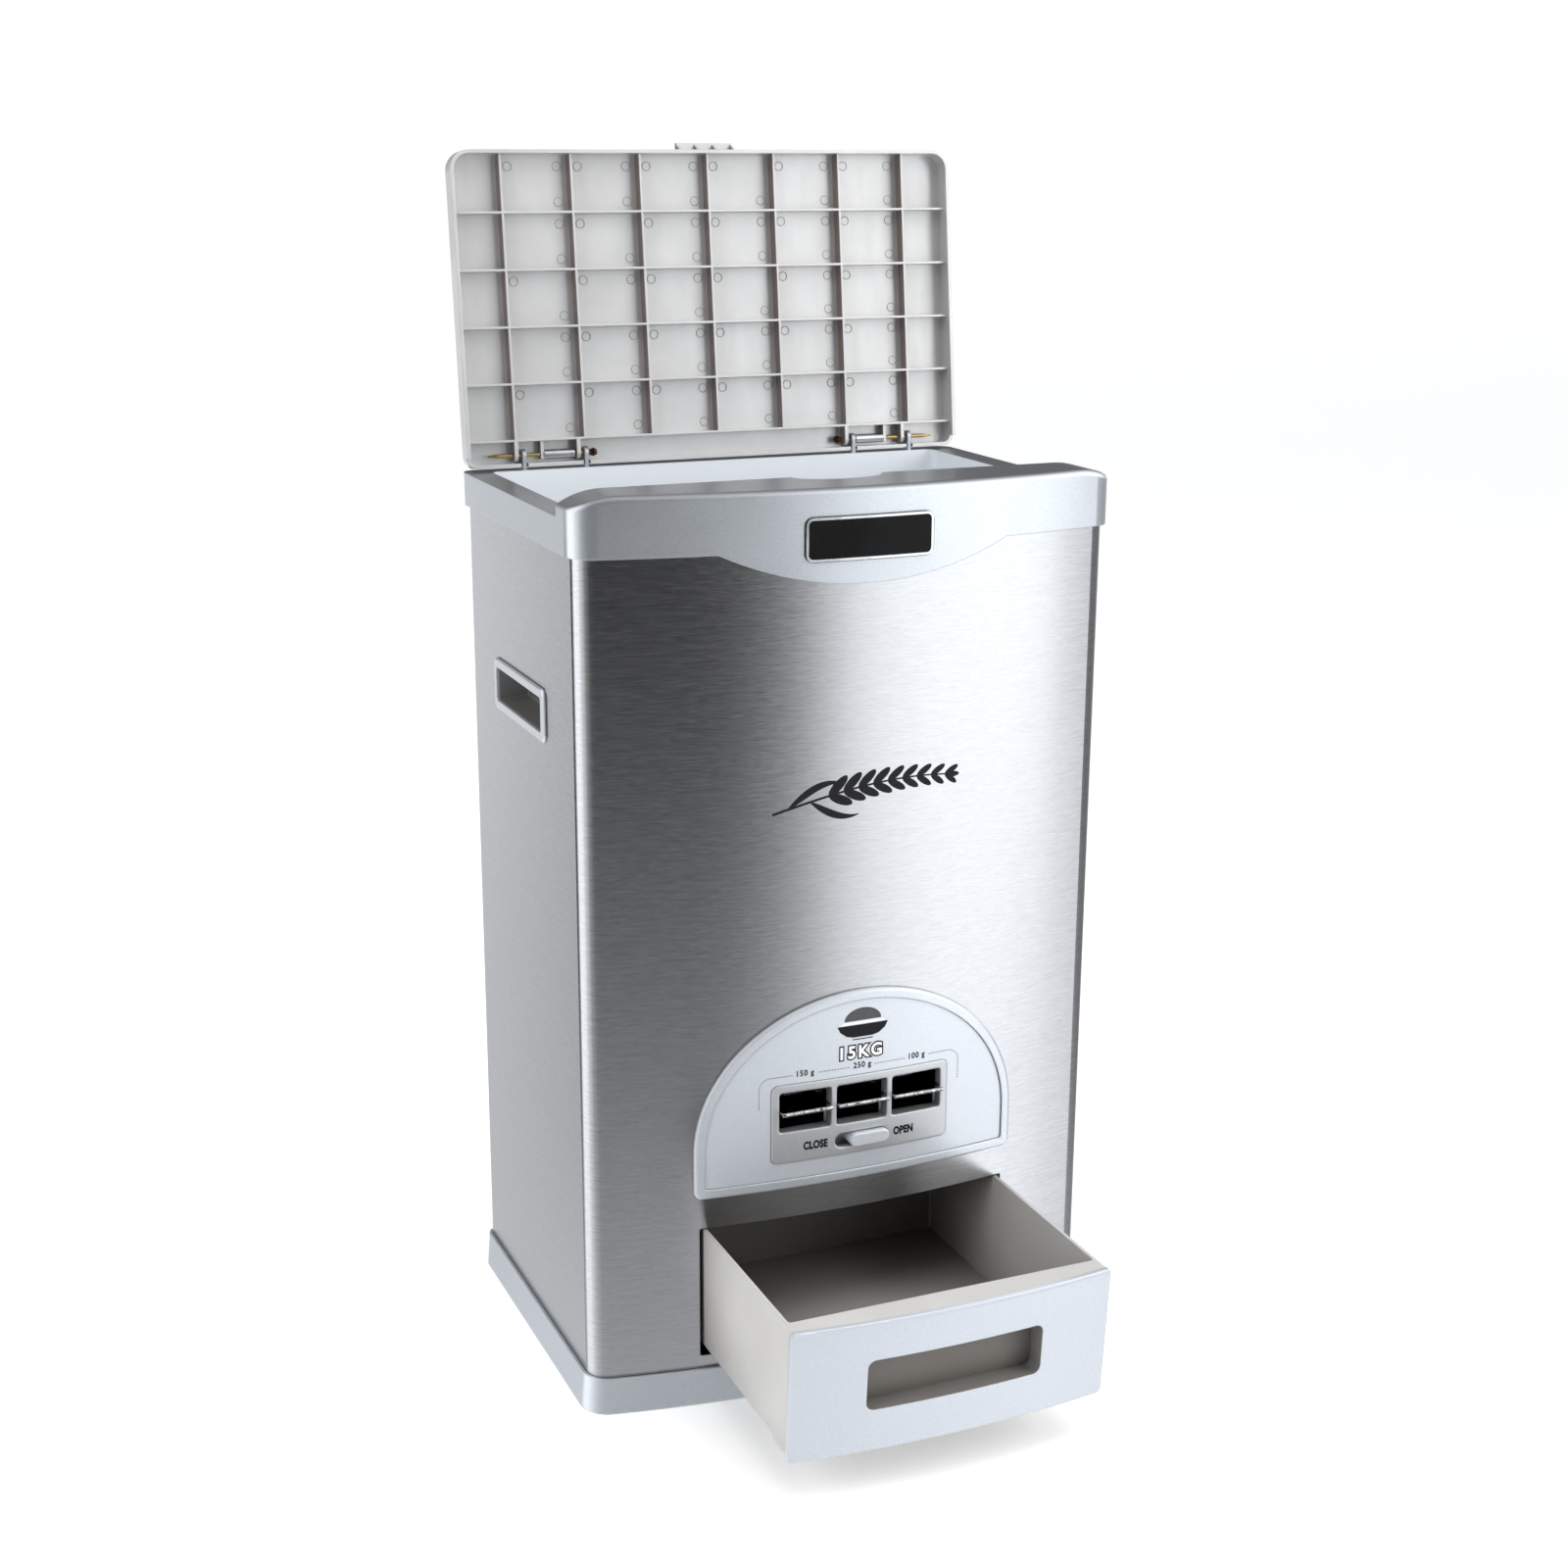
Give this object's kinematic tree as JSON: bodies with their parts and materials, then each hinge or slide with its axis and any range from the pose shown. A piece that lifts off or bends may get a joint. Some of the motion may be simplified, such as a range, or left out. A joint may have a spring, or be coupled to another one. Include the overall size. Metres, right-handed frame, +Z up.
{
  "type": "rice dispenser",
  "caption": "Free-standing rice dispenser: bowed steel cabinet with a lidded hopper, metering levers that each release a set portion, a sliding lock and a catch drawer.",
  "frame": {"origin": "middle of the cabinet's underside, on the surface it stands on", "axes": "+Z up, the bowed front faces -Y, +X to the right of someone facing the front"},
  "size_m": [0.334, 0.3863, 0.7235],
  "materials": {
    "silver_plastic": "silver metallic, satin",
    "brushed_steel": "horizontal brushed grain",
    "coated_sheet": "plain satin coating",
    "lid_plastic": "warm silver-grey, moulded satin",
    "tray_plastic": "light grey, moulded satin",
    "inner_plastic": "light grey, moulded",
    "black_plastic": "gloss black with a silver edge",
    "chrome_plating": "bright plating",
    "bright_rod": "bright rolled steel",
    "pin_brass": "satin brass",
    "pad_rubber": "matt black"
  },
  "bodies": {
    "cabinet": {"base": "silver_plastic", "foot_pads": "pad_rubber", "body_wrap": "brushed_steel", "back_panel": "coated_sheet", "top_frame": "silver_plastic", "badge_plate": "black_plastic", "left_handle": "silver_plastic", "right_handle": "silver_plastic", "hopper_liner": "inner_plastic", "hopper_funnel": "inner_plastic", "metering_box": "black_plastic", "lever_shaft": "bright_rod", "panel_bezel": "silver_plastic", "panel_face": "silver_plastic", "lever_plate": "silver_plastic", "left_rail": "inner_plastic", "right_rail": "inner_plastic", "drawer_bay": "inner_plastic"},
    "lid": {"lid": "lid_plastic", "left_hinge_pin": "pin_brass", "right_hinge_pin": "pin_brass", "left_hinge_barrel": "chrome_plating", "right_hinge_barrel": "chrome_plating"},
    "drawer": {"drawer_front": "silver_plastic", "drawer_tray": "tray_plastic"},
    "lock": {"lock_knob": "silver_plastic", "lock_bar": "inner_plastic"},
    "lever_150g": {"lever_150g": "chrome_plating"},
    "gate_150g": {"gate_150g": "inner_plastic"},
    "lever_250g": {"lever_250g": "chrome_plating"},
    "gate_250g": {"gate_250g": "inner_plastic"},
    "lever_100g": {"lever_100g": "chrome_plating"},
    "gate_100g": {"gate_100g": "inner_plastic"}
  },
  "joints": [
    {"name": "lid_hinge", "type": "hinge", "parent": "cabinet", "child": "lid", "pos_m": [0, 0.101, 0.5385], "axis": [1, 0, 0], "range_deg": [0, 96.4]},
    {"name": "drawer_slide", "type": "slide", "parent": "cabinet", "child": "drawer", "axis": [0, -1, 0], "range_m": [-0.127, 0.03]},
    {"name": "lock_slide", "type": "slide", "parent": "cabinet", "child": "lock", "axis": [1, 0, 0], "range_m": [-0.008, 0]},
    {"name": "lever_150g_press", "type": "hinge", "parent": "cabinet", "child": "lever_150g", "pos_m": [0, -0.1, 0.181], "axis": [1, 0, 0], "range_deg": [0, 18], "stiffness_Nm_per_rad": 0.15, "springref_deg": -20.05},
    {"name": "gate_150g_slide", "type": "slide", "parent": "cabinet", "child": "gate_150g", "axis": [0, 1, 0], "range_m": [0, 0.0115]},
    {"name": "lever_250g_press", "type": "hinge", "parent": "cabinet", "child": "lever_250g", "pos_m": [0, -0.1, 0.181], "axis": [1, 0, 0], "range_deg": [0, 18], "stiffness_Nm_per_rad": 0.15, "springref_deg": -20.05},
    {"name": "gate_250g_slide", "type": "slide", "parent": "cabinet", "child": "gate_250g", "axis": [0, 1, 0], "range_m": [0, 0.0115]},
    {"name": "lever_100g_press", "type": "hinge", "parent": "cabinet", "child": "lever_100g", "pos_m": [0, -0.1, 0.181], "axis": [1, 0, 0], "range_deg": [0, 18], "stiffness_Nm_per_rad": 0.15, "springref_deg": -20.05},
    {"name": "gate_100g_slide", "type": "slide", "parent": "cabinet", "child": "gate_100g", "axis": [0, 1, 0], "range_m": [0, 0.0115]}
  ],
  "couplings": [
    {"joint": "gate_150g_slide", "follows": "lever_150g_press", "m_per_rad": 0.036},
    {"joint": "gate_250g_slide", "follows": "lever_250g_press", "m_per_rad": 0.036},
    {"joint": "gate_100g_slide", "follows": "lever_100g_press", "m_per_rad": 0.036}
  ]
}
